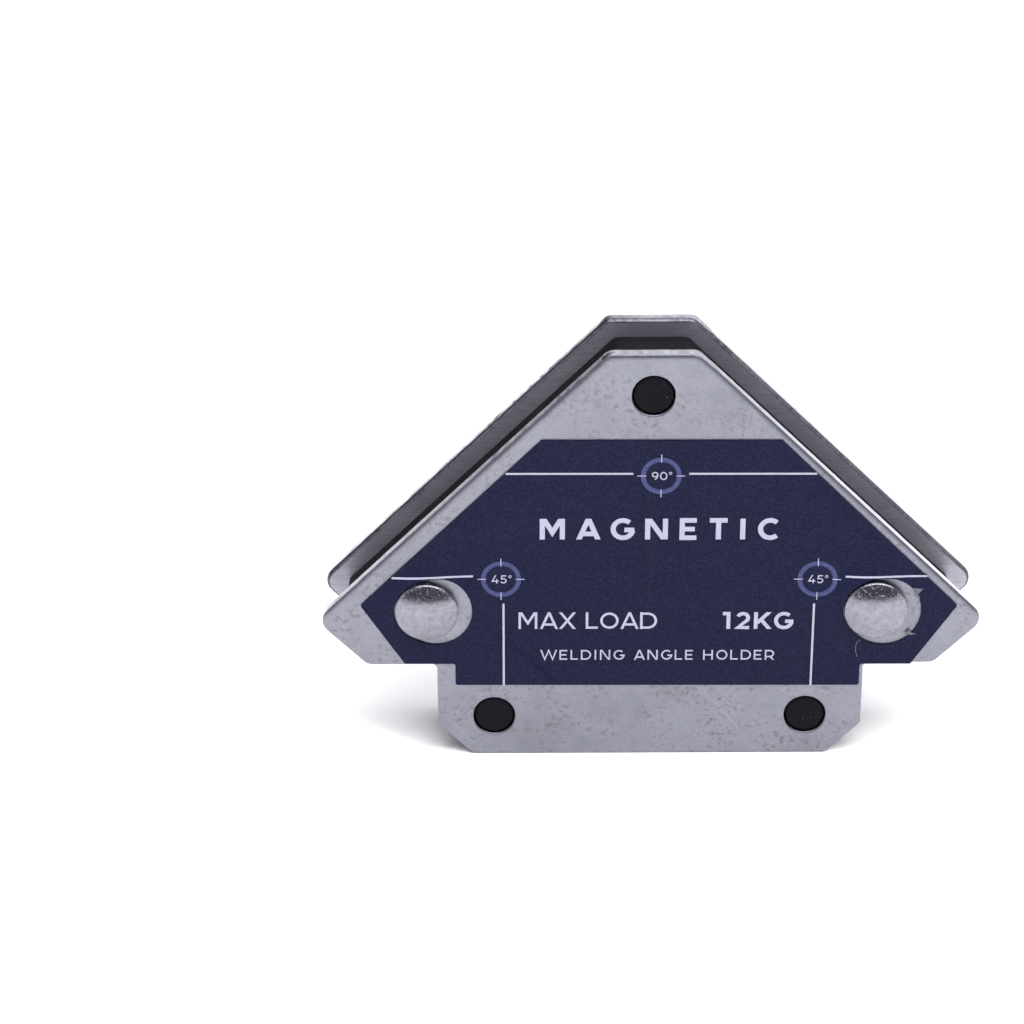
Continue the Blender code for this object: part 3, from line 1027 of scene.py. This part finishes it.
def add_world():
    """White tent, darker low down at the front and towards the back left."""
    world = bpy.data.worlds.new("studio")
    bpy.context.scene.world = world
    world.use_nodes = True
    tree = world.node_tree
    place = tree.nodes.new("ShaderNodeTexCoord")
    colour = (0.92, 0.92, 0.95, 1)
    for towards, low, high, dark in (((0, -1, -0.45), -0.25, 0.35, (0.12, 0.12, 0.155, 1)),
                                     ((-0.8, 0.38, 0.42), 0.35, 0.80, (0.08, 0.08, 0.11, 1))):
        along = tree.nodes.new("ShaderNodeVectorMath")
        along.operation = "DOT_PRODUCT"
        tree.links.new(place.outputs["Generated"], along.inputs[0])
        along.inputs[1].default_value = towards
        spread = tree.nodes.new("ShaderNodeMapRange")
        spread.interpolation_type = "SMOOTHSTEP"
        spread.inputs["From Min"].default_value = low
        spread.inputs["From Max"].default_value = high
        tree.links.new(along.outputs["Value"], spread.inputs["Value"])
        mix = tree.nodes.new("ShaderNodeMix")
        mix.data_type = "RGBA"
        if isinstance(colour, tuple):
            mix.inputs[6].default_value = colour
        else:
            tree.links.new(colour, mix.inputs[6])
        mix.inputs[7].default_value = dark
        tree.links.new(spread.outputs["Result"], mix.inputs["Factor"])
        colour = mix.outputs[2]
    tree.links.new(colour, tree.nodes["Background"].inputs["Color"])


def add_light(name, place, aim, size, watts, colour=(1, 1, 1)):
    data = bpy.data.lights.new(name, "AREA")
    data.shape = "RECTANGLE"
    data.size, data.size_y = size
    data.energy = watts
    data.color = colour
    light = bpy.data.objects.new(name, data)
    light.location = place
    light.rotation_euler = (Vector(aim) - Vector(place)).to_track_quat("-Z", "Y").to_euler()
    bpy.context.scene.collection.objects.link(light)


def add_lights():
    add_light("overhead", (0.1, 0.05, 0.95), (0.0, -0.03, 0.0), (1.8, 1.2), 13.5)
    add_light("front_overhead", (0.0, -0.45, 0.85), (0.0, -0.1, 0.0), (1.0, 0.4), 7.5)
    add_light("right_strip", (0.5, -0.45, 0.65), (0.0, 0.0, 0.03), (0.12, 0.5), 2.0)
    add_light("left_side", (-0.80, -0.32, 0.36), (0.0, 0.0, 0.03), (0.15, 0.6), 1.2)


def add_camera():
    data = bpy.data.cameras.new("camera")
    data.lens = CAMERA_LENS
    data.sensor_width = 36.0
    data.clip_start = 0.01
    camera = bpy.data.objects.new("camera", data)
    camera.location = CAMERA_PLACE
    camera.rotation_euler = [math.radians(a) for a in CAMERA_TURN]
    bpy.context.scene.collection.objects.link(camera)
    bpy.context.scene.camera = camera
    bpy.context.scene.view_settings.view_transform = "Standard"


# ================================================================ build

LABEL_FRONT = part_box("label")[0].y
RIVET_PLACES = [Vector((centre(name).x, centre(name).z))
                for name in ("rivet_left", "rivet_right")]
HEAD_RADIUS = (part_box("rivet_left")[1].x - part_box("rivet_left")[0].x) / 2
LABEL_ORIGIN, LABEL_TURN = read_label_place()

add_camera()
add_world()
add_floor()
add_lights()
add_plates()
add_core()
add_pins()
add_rivets()
finish_hidden_nodes()
add_label()
white_shapes, blue_shapes, dark_shapes = graphics()
add_print("label_print", as_stuck(white_shapes),
          film_ink("pale_ink", (0.37, 0.37, 0.47), (0.43, 0.43, 0.54), 0.45, 0.2, 0.15),
          PRINT_LIFT)
add_print("label_rings", as_stuck(blue_shapes),
          film_ink("blue_ink", (0.075, 0.085, 0.21), (0.11, 0.12, 0.28), 0.45, 0.15, 0.4),
          PRINT_LIFT)
add_print("label_dials", as_stuck(dark_shapes),
          film_ink("dial_ink", (0.03, 0.034, 0.10), (0.05, 0.056, 0.15), 0.45, 0.12, 0.4),
          PRINT_LIFT / 3)
add_torn_film()
